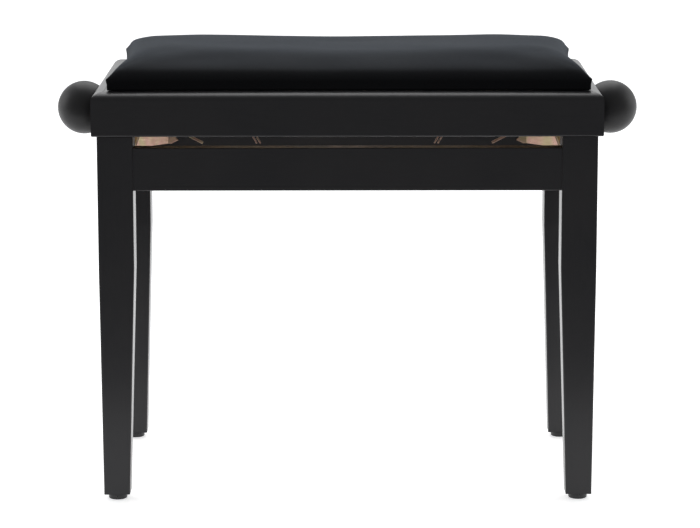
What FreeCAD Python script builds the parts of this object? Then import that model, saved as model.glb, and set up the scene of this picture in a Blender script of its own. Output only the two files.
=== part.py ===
import FreeCAD, Part

import math
import os

from FreeCAD import Vector as V

# Height-adjustable piano bench. +X right, +Y back, +Z up, in millimetres; the origin is on
# the floor under the middle of the bench. Modelled at the lowest seat height, which is rest.

# ---- overall -------------------------------------------------------------------------------
seat_width = 555.0          # over the seat rails, left to right
seat_depth = 330.0          # over the seat rails, front to back
leg_length = 400.0          # wooden leg, without its glide
lift_travel = 90.0          # how far the seat rises
seat_gap = 1.0              # daylight between leg tops and seat rails at the lowest height
base_setback = 5.5          # legs stand this far inside the seat rails

# ---- legs and glides -----------------------------------------------------------------------
leg_top_size = 39.0
leg_bottom_size = 28.7
leg_outer_taper = 1.9       # of the taper, the share taken off the outer faces
leg_taper_length = 255.0
leg_edge_round = 1.5
glide_height = 7.0
glide_radius = 10.4
glide_round = 1.6
nail_radius = 1.5
nail_length = 16.0

# ---- aprons --------------------------------------------------------------------------------
apron_height = 47.0
apron_thick = 20.0
apron_drop = 12.0           # apron tops sit this far below the leg tops
apron_recess = 1.0
apron_edge_round = 1.2

# ---- seat rails and corner blocks ----------------------------------------------------------
rail_height = 48.0
rail_thick = 24.0
rail_round_width = 14.0     # the rounded top outer edge, measured inwards
rail_round_height = 9.0     # and measured downwards
rail_foot_round = 2.0
block_leg = 46.0
block_height = 20.0
board_screw_inset = 13.8    # from the rails' inner faces

# ---- cushion -------------------------------------------------------------------------------
cushion_inset = 14.0
board_thick = 10.0
cover_thick = 1.5
cover_hem = 24.0            # how far the cover is turned under the board
band_height = 12.5          # upright edge of the cushion, before the crown starts
crown_rise = 28.5
cushion_corner = 7.0

# ---- spindle, knobs and nuts ---------------------------------------------------------------
spindle_radius = 5.0
spindle_rise = 11.0         # spindle axis above the underside of the seat rails
thread_lead = 1.5
thread_length = 60.0        # of each threaded stretch
thread_relief = 4.0         # plain middle, half its length
thread_depth = 0.8
knob_radius = 30.0
knob_flat = 19.5            # ball centre to its flat
knob_gap = 1.5              # flat to seat rail
knob_socket = 30.0          # how deep the spindle sits in the knob
bush_wall = 2.0
bush_flange_radius = 10.0
bush_flange_thick = 1.0
bush_proud = 2.5            # bush past the inside of the side rail
collar_radius = 10.0
collar_width = 8.0
collar_gap = 0.5
collar_screw_radius = 2.0
nut_size = 18.0
nut_clear = 3.7             # nut bar to the middle of the bench, at rest
trunnion_radius = 5.0
trunnion_end = 0.6          # trunnion past its retaining ring
clip_radius = 8.0
clip_thick = 1.4

# ---- scissor arms, links and their brackets ------------------------------------------------
steel_thick = 2.5
pivot_inset = 38.5          # base and seat pivots, in from the outside of the seat rails
base_pivot_drop = 17.0      # base pivot below the spindle axis at rest
arm_thick = 4.0
arm_width = 17.0
arm_tail = 2.0              # arm past the end of its slot
link_thick = 3.0
ear_thick = 3.0
ear_radius = 9.0
layer_gap = 1.0             # between neighbouring plates
pivot_radius = 4.0
rivet_head_radius = 8.0
rivet_head_thick = 2.0
rivet_play = 0.3
rod_play = 0.5              # arms to the heads, rings and nut bar beside them
rod_head_radius = 6.5
rod_head_thick = 1.5
base_flange_height = 39.0
base_flange_drop = 2.0      # its top edge, below the apron's top
seat_flange_height = 38.0
seat_flange_rise = 3.0      # its lower edge, above the underside of the seat rails
flange_margin = 10.0        # a flange's screws to its ends
screw_to_ear = 11.0
bracket_gap = 7.5           # end of a base bracket's flange to the corner brace

# ---- corner braces and leg bolts -----------------------------------------------------------
brace_leg_gap = 1.4         # between the leg's inner corner and the brace
brace_tab = 13.0            # each tab's length, to its point
brace_height = 32.5
brace_drop = 5.0            # below the apron's top
brace_point_rise = 4.0      # tab's point above the brace's lower edge
brace_point_low = 8.0       # how far the point stands out past the lower edge
brace_point_high = 3.6      # and past the upright edge above it
brace_screw_rise = 20.0     # above the brace's lower edge
bolt_play = 0.5             # radial, bolt in the brace
bolt_radius = 4.0
bolt_in_leg = 22.0
bolt_tail = 9.0             # past the nut
bolt_drop = 16.0            # bolt axis below the apron's top
nut_flats = 13.0
nut_height = 6.5
washer_radius = 8.5
washer_thick = 1.6

# ---- wood screws ---------------------------------------------------------------------------
screw_radius = 2.0
screw_length = 14.0
screw_head_radius = 4.0
screw_head_height = 2.2
board_screw_length = 26.0

# ---- clearances ----------------------------------------------------------------------------
running = 0.05              # radial, shaft in a turning fit
snug = 0.05                 # radial, fixed pieces
slack = 0.15                # radial, added to a hole that the straight-line drive needs wide

# ---- levels and places worked out from the sizes -------------------------------------------
leg_top = glide_height + leg_length
apron_top = leg_top - apron_drop
apron_low = apron_top - apron_height
rail_low = leg_top + seat_gap
rail_top = rail_low + rail_height
spindle_z = rail_low + spindle_rise
base_pivot_z = spindle_z - base_pivot_drop

leg_out_x = seat_width / 2 - base_setback
leg_out_y = seat_depth / 2 - base_setback
leg_in_x = leg_out_x - leg_top_size
leg_in_y = leg_out_y - leg_top_size
apron_in_x = leg_out_x - apron_recess - apron_thick
apron_in_y = leg_out_y - apron_recess - apron_thick
rail_in_x = seat_width / 2 - rail_thick
rail_in_y = seat_depth / 2 - rail_thick
pivot_x = seat_width / 2 - pivot_inset
knob_x = seat_width / 2 + knob_gap + knob_flat
# Corner of the aprons' inner faces to the brace's bend, along each apron.
brace_reach = 2 * (apron_in_y - leg_in_y) + brace_leg_gap * math.sqrt(2)
brace_bend = steel_thick * (math.sqrt(2) - 1)      # the bend's inside, past its outside

nut_rest_x = nut_clear + nut_size / 2
arm_run = pivot_x - nut_rest_x
arm_length = math.hypot(arm_run, base_pivot_drop)
angle_rest = math.asin(base_pivot_drop / arm_length)
angle_top = math.asin((base_pivot_drop + lift_travel) / arm_length)
nut_travel = arm_length * (math.cos(angle_rest) - math.cos(angle_top))
half_swing = (angle_top - angle_rest) / 2
# The nut runs straight from one end of its travel to the other while the arm swings, so its
# pin moves along a slot in the arm, and strays a little across it, most at stray_share.
slot_travel = arm_length * (1 - math.cos(half_swing))
stray_share = 1 / math.sqrt(3)
slot_stray = arm_length * (
    stray_share * math.sin(half_swing) * math.cos(stray_share * half_swing)
    - math.cos(half_swing) * math.sin(stray_share * half_swing)
)
# The arm's and the link's middles part by this much, half way up.
fold_error = arm_length * math.sin((angle_rest + angle_top) / 2) - base_pivot_drop - lift_travel / 2

# Layers of the scissors at +Y, outwards from the base bracket's ear.
base_flange_far = apron_in_y - brace_reach - brace_tab - bracket_gap
base_ear_face = base_flange_far - flange_margin - screw_to_ear
arm_inner_face = base_ear_face + layer_gap
arm_outer_face = arm_inner_face + arm_thick
link_inner_face = arm_outer_face + layer_gap
link_outer_face = link_inner_face + link_thick
seat_ear_face = link_outer_face + layer_gap

LEFT_RIGHT = (("left", -1), ("right", 1))
FRONT_REAR = (("front", -1), ("rear", 1))
CORNERS = [(f"{fr}_{lr}", sx, sy) for fr, sy in FRONT_REAR for lr, sx in LEFT_RIGHT]


# ---- helpers -------------------------------------------------------------------------------
def box(x0, x1, y0, y1, z0, z1):
    """A block between two corners, given in any order."""
    lo = V(min(x0, x1), min(y0, y1), min(z0, z1))
    return Part.makeBox(abs(x1 - x0), abs(y1 - y0), abs(z1 - z0), lo)


def rod(start, end, radius):
    """A round rod from one point to another."""
    way = end - start
    return Part.makeCylinder(radius, way.Length, start, way)


def to_corner(shape, sx, sy):
    """A shape made in the +X, +Y quarter, mirrored into the quarter with these signs."""
    if sx < 0:
        shape = shape.mirror(V(0, 0, 0), V(1, 0, 0))
    if sy < 0:
        shape = shape.mirror(V(0, 0, 0), V(0, 1, 0))
    return shape


def in_corners(shape):
    """Copies of a +X, +Y quarter's shape in all four quarters."""
    return [to_corner(shape, sx, sy) for _, sx, sy in CORNERS]


def one_solid(shape):
    """The single solid in a boolean's result, with its split faces merged."""
    return shape.removeSplitter().Solids[0]


def save(name, shapes):
    """Writes one node from one solid or a list of separate solids."""
    solids = [s for shape in (shapes if isinstance(shapes, list) else [shapes]) for s in shape.Solids]
    whole = solids[0] if len(solids) == 1 else Part.makeCompound(solids)
    whole.exportStep(f"parts/{name}.step")


def rounded_rectangle(x0, x1, y0, y1, radius, z):
    """A level closed wire with four arcs."""
    k = radius * (1 - math.sqrt(0.5))
    corners = (
        (V(x1 - radius, y0, z), V(x1 - k, y0 + k, z), V(x1, y0 + radius, z)),
        (V(x1, y1 - radius, z), V(x1 - k, y1 - k, z), V(x1 - radius, y1, z)),
        (V(x0 + radius, y1, z), V(x0 + k, y1 - k, z), V(x0, y1 - radius, z)),
        (V(x0, y0 + radius, z), V(x0 + k, y0 + k, z), V(x0 + radius, y0, z)),
    )
    edges = []
    for i, (start, middle, end) in enumerate(corners):
        edges.append(Part.Arc(start, middle, end).toShape())
        edges.append(Part.LineSegment(end, corners[(i + 1) % 4][0]).toShape())
    return Part.Wire(edges)


def plate_xz(points, y, thick):
    """A flat plate from (x, z) points, standing in the XZ plane from y to y + thick."""
    ring = [V(x, y, z) for x, z in points]
    return Part.Face(Part.makePolygon(ring + ring[:1])).extrude(V(0, thick, 0))


def wood_screw(head_seat, way, length=screw_length):
    """A pan-head screw: its head stands on head_seat, and its shank runs along way."""
    way = V(way).normalize()
    head = Part.makeCylinder(screw_head_radius, screw_head_height, head_seat, way * -1)
    return one_solid(head.fuse(Part.makeCylinder(screw_radius, length, head_seat, way)))


def screw_hole(head_seat, way, length=screw_length):
    """The hole that a screw's shank leaves, a little longer than the shank."""
    way = V(way).normalize()
    return Part.makeCylinder(screw_radius + snug, length + 1, head_seat, way)


# ---- fastener places, shared by the pieces that they go through ---------------------------
def brace_screw_seats():
    """(place, direction) of a +X, +Y corner brace's screws, heads on the brace's tabs."""
    z = apron_top - brace_drop - brace_height + brace_screw_rise
    along = brace_reach + (brace_tab - brace_point_high + brace_bend) / 2
    return [
        (V(apron_in_x - steel_thick, apron_in_y - along, z), V(1, 0, 0)),
        (V(apron_in_x - along, apron_in_y - steel_thick, z), V(0, 1, 0)),
    ]


def flange_span(ear_near):
    """Ends of a bracket's flange whose ear's near face is at ear_near."""
    around = screw_to_ear + flange_margin
    return ear_near - around, ear_near + ear_thick + around


def base_bracket_screw_seats():
    """(place, direction) of the +X, +Y base bracket's screws."""
    z = apron_top - base_flange_drop - base_flange_height / 2
    near, far = flange_span(base_ear_face - ear_thick)
    across = (near + flange_margin, far - flange_margin)
    return [(V(apron_in_x - steel_thick, y, z), V(1, 0, 0)) for y in across]


def seat_bracket_screw_seats():
    """(place, direction) of the +X, +Y seat bracket's screws."""
    z = rail_low + seat_flange_rise + seat_flange_height / 2
    near, far = flange_span(seat_ear_face)
    across = (near + flange_margin, far - flange_margin)
    return [(V(rail_in_x - steel_thick, y, z), V(1, 0, 0)) for y in across]


def board_screw_seat():
    """Head seat of the +X, +Y screw that holds the cushion, under its corner block."""
    x = rail_in_x - board_screw_inset
    y = rail_in_y - board_screw_inset
    return V(x, y, rail_top - block_height)


# ---- base ----------------------------------------------------------------------------------
def leg():
    """The +X, +Y leg: straight at the top, then tapered, most of it on the inner faces."""
    inner_taper = leg_top_size - leg_bottom_size - leg_outer_taper
    full = (leg_in_x, leg_out_x, leg_in_y, leg_out_y, leg_edge_round)
    foot = (
        leg_in_x + inner_taper,
        leg_out_x - leg_outer_taper,
        leg_in_y + inner_taper,
        leg_out_y - leg_outer_taper,
        leg_edge_round,
    )
    sections = [
        rounded_rectangle(*foot, glide_height),
        rounded_rectangle(*full, glide_height + leg_taper_length),
        rounded_rectangle(*full, leg_top),
    ]
    shape = Part.makeLoft(sections, True, True)
    nail = Part.makeCylinder(nail_radius + snug, nail_length + 1, glide_centre())
    start, end = bolt_line()
    return one_solid(shape.cut(nail).cut(rod(start, end, bolt_radius + snug)))


def glide_centre():
    """Centre of the +X, +Y leg's lower end."""
    inner_taper = leg_top_size - leg_bottom_size - leg_outer_taper
    x = (leg_in_x + inner_taper + leg_out_x - leg_outer_taper) / 2
    y = (leg_in_y + inner_taper + leg_out_y - leg_outer_taper) / 2
    return V(x, y, glide_height)


def glide():
    """Round nail-in glide under the +X, +Y leg."""
    at = glide_centre() - V(0, 0, glide_height)
    disc = Part.makeCylinder(glide_radius, glide_height, at)
    rim = [e for e in disc.Edges if abs(e.BoundBox.ZMax) < 1e-6 and isinstance(e.Curve, Part.Circle)]
    disc = disc.makeFillet(glide_round, rim)
    nail = Part.makeCylinder(nail_radius, nail_length, at + V(0, 0, glide_height))
    return one_solid(disc.fuse(nail))


def apron(half_length, in_face, out_face, along_x):
    """An apron board on the +Y side, or the +X side, with its long outer edges eased."""
    if along_x:
        board = box(-half_length, half_length, in_face, out_face, apron_low, apron_top)
    else:
        board = box(in_face, out_face, -half_length, half_length, apron_low, apron_top)
    long_edges = [e for e in board.Edges if e.Length > 2 * half_length - 1e-3]
    board = board.makeFillet(apron_edge_round, long_edges)
    for seat, way in brace_screw_seats():
        if (way.y > 0.5) == along_x:
            for sx in (-1, 1):
                hole = to_corner(screw_hole(seat, way), sx if along_x else 1, 1 if along_x else sx)
                board = board.cut(hole)
    if not along_x:
        for seat, way in base_bracket_screw_seats():
            for sy in (-1, 1):
                board = board.cut(to_corner(screw_hole(seat, way), 1, sy))
    return one_solid(board)


def bolt_line():
    """Ends of the hanger bolt in the +X, +Y corner: its tip in the leg, then its tail."""
    z = apron_top - bolt_drop
    leg_corner = V(leg_in_x, leg_in_y, z)
    inward = V(-1, -1, 0).normalize()
    tail = brace_face_distance() + washer_thick + nut_height + bolt_tail
    return leg_corner - inward * bolt_in_leg, V(apron_in_x, apron_in_y, z) + inward * tail


def brace_face_distance():
    """Corner of the aprons' inner faces to the brace's inner face, along the diagonal."""
    return brace_reach / math.sqrt(2) + steel_thick


def brace_tab_shape():
    """The +X, +Y brace's tab on the long apron, flat, with its pointed end towards -X."""
    low = apron_top - brace_drop - brace_height
    point = low + brace_point_rise
    end = apron_in_x - brace_reach - brace_tab
    outline = [
        (apron_in_x - brace_reach, low),
        (end + brace_point_low, low),
        (end, point),
        (end + brace_point_high, point + brace_point_high),
        (end + brace_point_high, low + brace_height),
        (apron_in_x - brace_reach, low + brace_height),
    ]
    return plate_xz(outline, apron_in_y - steel_thick, steel_thick)


def corner_brace():
    """Bent steel brace in the +X, +Y corner: a diagonal middle and a tab on each apron."""
    low = apron_top - brace_drop - brace_height
    x, y, t = apron_in_x, apron_in_y, steel_thick
    outline = [
        V(x - brace_reach, y, low),
        V(x - brace_reach - brace_bend, y - t, low),
        V(x - t, y - brace_reach - brace_bend, low),
        V(x, y - brace_reach, low),
    ]
    middle = Part.Face(Part.makePolygon(outline + outline[:1])).extrude(V(0, 0, brace_height))
    long_tab = brace_tab_shape()
    # The same tab on the side apron: mirrored across the diagonal of the corner.
    side_tab = long_tab.mirror(V(x, y, 0), V(1, -1, 0))
    plate = middle.fuse([long_tab, side_tab])
    for seat, way in brace_screw_seats():
        plate = plate.cut(screw_hole(seat - way, way))
    start, stop = bolt_line()
    return one_solid(plate.cut(rod(start, stop, bolt_radius + bolt_play)))


def leg_bolt():
    """Hanger bolt of the +X, +Y corner."""
    start, end = bolt_line()
    return rod(start, end, bolt_radius)


def leg_washer():
    """Washer on the brace's inner face."""
    inward = V(-1, -1, 0).normalize()
    face = V(apron_in_x, apron_in_y, apron_top - bolt_drop) + inward * brace_face_distance()
    ring = Part.makeCylinder(washer_radius, washer_thick, face, inward)
    return ring.cut(Part.makeCylinder(bolt_radius + snug, washer_thick, face, inward))


def leg_nut():
    """Hexagon nut on the washer."""
    inward = V(-1, -1, 0).normalize()
    away = brace_face_distance() + washer_thick
    face = V(apron_in_x, apron_in_y, apron_top - bolt_drop) + inward * away
    side = V(1, -1, 0).normalize()
    radius = nut_flats / math.sqrt(3)
    ring = []
    for i in range(6):
        turn = math.pi / 6 + i * math.pi / 3
        ring.append(face + side * (radius * math.cos(turn)) + V(0, 0, radius * math.sin(turn)))
    body = Part.Face(Part.makePolygon(ring + ring[:1])).extrude(inward * nut_height)
    return body.cut(Part.makeCylinder(bolt_radius + snug, nut_height, face, inward))


def base_bracket():
    """The +X, +Y base bracket: a flange on the side apron and an ear for the pivot rod."""
    top = apron_top - base_flange_drop
    low = top - base_flange_height
    face = apron_in_x - steel_thick
    y = base_ear_face - ear_thick
    shape = box(face, apron_in_x, *flange_span(y), low, top)
    outline = [
        (face, low),
        (face, top),
        (pivot_x, base_pivot_z + ear_radius),
        (pivot_x - ear_radius, base_pivot_z),
    ]
    eye = Part.makeCylinder(ear_radius, ear_thick, V(pivot_x, y, base_pivot_z), V(0, 1, 0))
    shape = shape.fuse([plate_xz(outline, y, ear_thick), eye])
    shape = shape.cut(pivot_bore(pivot_x, base_pivot_z, pivot_radius + snug))
    for seat, way in base_bracket_screw_seats():
        shape = shape.cut(screw_hole(seat - way, way))
    return one_solid(shape)


def pivot_bore(x, z, radius):
    """A cutter along Y, right through the bench."""
    return Part.makeCylinder(radius, seat_depth, V(x, -seat_depth / 2, z), V(0, 1, 0))


def base_pivot_rod():
    """Right pivot rod with a head at each end, outside the arms."""
    end = arm_outer_face + rod_play
    shape = Part.makeCylinder(pivot_radius, 2 * end, V(pivot_x, -end, base_pivot_z), V(0, 1, 0))
    for sy in (-1, 1):
        y = min(sy * end, sy * (end + rod_head_thick))
        at = V(pivot_x, y, base_pivot_z)
        shape = shape.fuse(Part.makeCylinder(rod_head_radius, rod_head_thick, at, V(0, 1, 0)))
    return one_solid(shape)


# ---- seat ----------------------------------------------------------------------------------
def rail(length):
    """A mitred seat rail along X, its outer face on y = 0 and its inside towards +Y."""
    shoulder = rail_top - rail_round_height
    k = rail_foot_round * (1 - math.sqrt(0.5))
    ellipse = Part.Ellipse(V(rail_round_width, shoulder, 0), rail_round_width, rail_round_height)
    crown = Part.ArcOfEllipse(ellipse, math.pi / 2, math.pi).toShape()
    foot = Part.Arc(
        V(0, rail_low + rail_foot_round, 0), V(k, rail_low + k, 0), V(rail_foot_round, rail_low, 0)
    ).toShape()
    corners = [
        V(rail_foot_round, rail_low, 0),
        V(rail_thick, rail_low, 0),
        V(rail_thick, rail_top, 0),
        V(rail_round_width, rail_top, 0),
    ]
    edges = [Part.LineSegment(a, b).toShape() for a, b in zip(corners, corners[1:])]
    side = Part.LineSegment(V(0, shoulder, 0), V(0, rail_low + rail_foot_round, 0)).toShape()
    profile = Part.Face(Part.Wire(Part.__sortEdges__(edges + [crown, side, foot])))
    bar = profile.extrude(V(0, 0, length))
    # Profile x becomes +Y, profile y becomes +Z, and the extrusion runs along +X.
    bar = bar.transformGeometry(FreeCAD.Matrix(0, 0, 1, -length / 2, 1, 0, 0, 0, 0, 1, 0, 0, 0, 0, 0, 1))
    plan = [
        V(-length / 2, 0, rail_low - 1),
        V(length / 2, 0, rail_low - 1),
        V(length / 2 - rail_thick, rail_thick, rail_low - 1),
        V(-length / 2 + rail_thick, rail_thick, rail_low - 1),
    ]
    mitre = Part.Face(Part.makePolygon(plan + plan[:1])).extrude(V(0, 0, rail_height + 2))
    return one_solid(bar.common(mitre))


def placed_rail(side):
    """One of the four rails, with its holes."""
    turn, at, length = {
        "front": (0, V(0, -seat_depth / 2, 0), seat_width),
        "rear": (180, V(0, seat_depth / 2, 0), seat_width),
        "left": (-90, V(-seat_width / 2, 0, 0), seat_depth),
        "right": (90, V(seat_width / 2, 0, 0), seat_depth),
    }[side]
    shape = rail(length)
    shape.rotate(V(0, 0, 0), V(0, 0, 1), turn)
    shape.translate(at)
    if side in ("left", "right"):
        sx = 1 if side == "right" else -1
        bore = rod(V(0, 0, spindle_z), V(seat_width, 0, spindle_z), bush_radius() + snug)
        shape = shape.cut(to_corner(bore, sx, 1))
        for seat, way in seat_bracket_screw_seats():
            for sy in (-1, 1):
                shape = shape.cut(to_corner(screw_hole(seat, way), sx, sy))
    return one_solid(shape)


def corner_block():
    """Three-cornered block glued inside the +X, +Y corner of the seat rails."""
    low = rail_top - block_height
    ring = [
        V(rail_in_x, rail_in_y, low),
        V(rail_in_x - block_leg, rail_in_y, low),
        V(rail_in_x, rail_in_y - block_leg, low),
    ]
    shape = Part.Face(Part.makePolygon(ring + ring[:1])).extrude(V(0, 0, block_height))
    return one_solid(shape.cut(screw_hole(board_screw_seat(), V(0, 0, 1), board_screw_length)))


def cushion_block(inset, low, high, rise):
    """The cushion's outer form, taken in by inset: an upright band, then a crown up to high."""
    # (share of the crown's rise, how far the section is taken in) up the crown
    steps = ((0.0, 0.0), (0.3, 2.5), (0.55, 7.5), (0.75, 15.0), (0.9, 27.0), (1.0, 52.0))
    x = seat_width / 2 - cushion_inset - inset
    y = seat_depth / 2 - cushion_inset - inset
    sections = [rounded_rectangle(-x, x, -y, y, cushion_corner, low)]
    for share, take_in in steps:
        z = high - rise * (1 - share)
        bounds = (-x + take_in, x - take_in, -y + take_in, y - take_in)
        sections.append(rounded_rectangle(*bounds, cushion_corner + take_in / 2, z))
    return Part.makeLoft(sections, True, True)


def cushion_core(low):
    """What the cover wraps: board and foam, from low up."""
    top = rail_top + band_height + crown_rise - cover_thick
    return cushion_block(cover_thick, low, top, crown_rise)


def with_board_screw_holes(shape):
    """A cushion layer with the four cushion screws' holes."""
    for hole in in_corners(screw_hole(board_screw_seat(), V(0, 0, 1), board_screw_length)):
        shape = shape.cut(hole)
    return one_solid(shape)


def cushion_cover():
    """The sewn cover: over the crown, down the edges and turned under the board."""
    top = rail_top + band_height + crown_rise
    outside = cushion_block(0, rail_top, top, crown_rise)
    x = seat_width / 2 - cushion_inset - cover_hem
    y = seat_depth / 2 - cushion_inset - cover_hem
    opening = box(-x, x, -y, y, rail_top - 1, rail_top + cover_thick + 1)
    shape = outside.cut(cushion_core(rail_top + cover_thick)).cut(opening)
    return with_board_screw_holes(shape)


def cushion_board():
    """Plywood board under the foam."""
    low = rail_top + cover_thick
    shape = cushion_core(low).common(
        box(-seat_width, seat_width, -seat_depth, seat_depth, low, low + board_thick)
    )
    return with_board_screw_holes(shape)


def cushion_foam():
    """Foam block between board and cover."""
    low = rail_top + cover_thick
    cutter = box(-seat_width, seat_width, -seat_depth, seat_depth, low - 1, low + board_thick)
    return with_board_screw_holes(cushion_core(low).cut(cutter))


def seat_bracket():
    """The +X, +Y seat bracket: a flange on the side rail and an ear for the link's pin."""
    low = rail_low + seat_flange_rise
    high = low + seat_flange_height
    face = rail_in_x - steel_thick
    shape = box(face, rail_in_x, *flange_span(seat_ear_face), low, high)
    outline = [
        (face, high),
        (pivot_x - ear_radius, high),
        (pivot_x - ear_radius, spindle_z),
        (pivot_x, spindle_z - ear_radius),
        (face, low),
    ]
    eye = Part.makeCylinder(ear_radius, ear_thick, V(pivot_x, seat_ear_face, spindle_z), V(0, 1, 0))
    shape = shape.fuse([plate_xz(outline, seat_ear_face, ear_thick), eye])
    shape = shape.cut(pivot_bore(pivot_x, spindle_z, pivot_radius + snug))
    for seat, way in seat_bracket_screw_seats():
        shape = shape.cut(screw_hole(seat - way, way))
    return one_solid(shape)


def seat_pivot_pin():
    """Pin of the +X, +Y link: flush inside the link, with its head outside the ear."""
    head_face = seat_ear_face + ear_thick
    start = V(pivot_x, link_inner_face, spindle_z)
    shape = rod(start, V(pivot_x, head_face, spindle_z), pivot_radius)
    head = V(pivot_x, head_face, spindle_z)
    return one_solid(shape.fuse(rod(head, head + V(0, rod_head_thick, 0), rod_head_radius)))


def bush_radius():
    return spindle_radius + bush_wall


def bearing_bush():
    """Right bush: through the side rail, flanged outside."""
    outside = seat_width / 2
    start = V(rail_in_x - bush_proud, 0, spindle_z)
    shape = rod(start, V(outside, 0, spindle_z), bush_radius())
    flange = V(outside, 0, spindle_z)
    shape = shape.fuse(rod(flange, flange + V(bush_flange_thick, 0, 0), bush_flange_radius))
    bore = rod(V(0, 0, spindle_z), V(seat_width, 0, spindle_z), spindle_radius + running)
    return one_solid(shape.cut(bore))


# ---- spindle -------------------------------------------------------------------------------
def spindle():
    """The spindle: plain ends and middle, and two grooved stretches for the nuts."""
    end = knob_x - knob_flat + knob_socket
    shape = rod(V(-end, 0, spindle_z), V(end, 0, spindle_z), spindle_radius)
    pitch = thread_lead * 2
    count = int((thread_length - thread_relief) / pitch)
    for sx in (-1, 1):
        for i in range(count):
            x = sx * (thread_relief + (i + 0.5) * pitch)
            at = V(x - pitch / 4, 0, spindle_z)
            ring = Part.makeCylinder(spindle_radius + 1, pitch / 2, at, V(1, 0, 0))
            ring = ring.cut(
                Part.makeCylinder(spindle_radius - thread_depth, pitch / 2, at, V(1, 0, 0))
            )
            shape = shape.cut(ring)
    return one_solid(shape)


def knob():
    """Right knob: a ball with a flat towards the seat rail and a blind socket."""
    centre = V(knob_x, 0, spindle_z)
    flat_x = knob_x - knob_flat
    shape = Part.makeSphere(knob_radius, centre)
    keep = 2 * knob_radius
    shape = shape.common(box(flat_x, flat_x + keep, -keep, keep, spindle_z - keep, spindle_z + keep))
    socket = rod(V(flat_x, 0, spindle_z), V(flat_x + knob_socket, 0, spindle_z), spindle_radius + snug)
    return one_solid(shape.cut(socket))


def collar_place():
    """X of the right thrust collar's outer face and of its middle."""
    face = rail_in_x - bush_proud - collar_gap
    return face, face - collar_width / 2


def thrust_collar():
    """Right thrust collar, against the bush."""
    face, middle = collar_place()
    start = V(face, 0, spindle_z)
    ring = rod(start, start - V(collar_width, 0, 0), collar_radius)
    ring = ring.cut(rod(start, start - V(collar_width, 0, 0), spindle_radius + snug))
    return one_solid(ring.cut(rod(*collar_screw_line(), collar_screw_radius + snug)))


def collar_screw_line():
    """Ends of the right collar's set screw, square to the spindle."""
    middle = V(collar_place()[1], 0, spindle_z)
    down = V(0, 0, -1)
    return middle + down * (spindle_radius + snug), middle + down * (collar_radius + 1)


# ---- nuts, arms and links ------------------------------------------------------------------
def nut_bar():
    """Right nut bar: a square bar with a trunnion at each end and the threaded bore."""
    half = base_ear_face - rod_play
    size = nut_size / 2
    shape = box(
        nut_rest_x - size, nut_rest_x + size, -half, half, spindle_z - size, spindle_z + size
    )
    reach = arm_outer_face + rod_play + clip_thick + trunnion_end
    shape = shape.fuse(
        Part.makeCylinder(trunnion_radius, 2 * reach, V(nut_rest_x, -reach, spindle_z), V(0, 1, 0))
    )
    bore = rod(V(0, 0, spindle_z), V(seat_width, 0, spindle_z), spindle_radius + running)
    return one_solid(shape.cut(bore))


def nut_clip():
    """Retaining ring on the right nut's rear trunnion."""
    start = V(nut_rest_x, arm_outer_face + rod_play, spindle_z)
    end = start + V(0, clip_thick, 0)
    return one_solid(rod(start, end, clip_radius).cut(rod(start, end, trunnion_radius + snug)))


def flat_bar(length, thick, y):
    """A round-ended bar along +X from the origin's pivot, from y to y + thick."""
    half = arm_width / 2
    shape = box(0, length, y, y + thick, -half, half)
    ends = [Part.makeCylinder(half, thick, V(x, y, 0), V(0, 1, 0)) for x in (0, length)]
    return one_solid(shape.fuse(ends))


def tilted(shape, angle, x, z):
    """A bar made along +X, raised by angle about its pivot, which goes to (x, z)."""
    shape.rotate(V(0, 0, 0), V(0, 1, 0), -math.degrees(angle))
    shape.translate(V(x, 0, z))
    return shape


def arm():
    """Left rear main arm, from its base pivot to the nut bar."""
    outer = arm_length + trunnion_radius + slack + arm_tail - arm_width / 2
    shape = flat_bar(outer, arm_thick, arm_inner_face)
    for x, radius in ((0, pivot_radius + running), (arm_length / 2, pivot_radius + snug)):
        shape = shape.cut(rod(V(x, 0, 0), V(x, seat_depth, 0), radius))
    half = trunnion_radius + slot_stray + slack
    inner_end = arm_length - slot_travel - slack
    slot = box(inner_end, arm_length, 0, seat_depth, -half, half)
    ends = [rod(V(x, 0, 0), V(x, seat_depth, 0), half) for x in (inner_end, arm_length)]
    shape = one_solid(shape.cut(slot.fuse(ends)))
    return tilted(shape, angle_rest, -pivot_x, base_pivot_z)


def arm_rivet():
    """Rivet that joins the left rear arm to its link, with a head outside the link."""
    start = V(arm_length / 2, arm_inner_face, 0)
    neck = V(arm_length / 2, link_outer_face + rivet_play, 0)
    shape = rod(start, neck, pivot_radius).fuse(
        rod(neck, neck + V(0, rivet_head_thick, 0), rivet_head_radius)
    )
    return tilted(one_solid(shape), angle_rest, -pivot_x, base_pivot_z)


def link():
    """Left rear link, from the seat pivot down to the arm's middle."""
    length = arm_length / 2
    shape = flat_bar(length, link_thick, link_inner_face)
    wide = pivot_radius + fold_error + slack
    for x, radius in ((0, pivot_radius + running), (length, wide)):
        shape = shape.cut(rod(V(x, 0, 0), V(x, seat_depth, 0), radius))
    return tilted(one_solid(shape), -angle_rest, -pivot_x, spindle_z)


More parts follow.
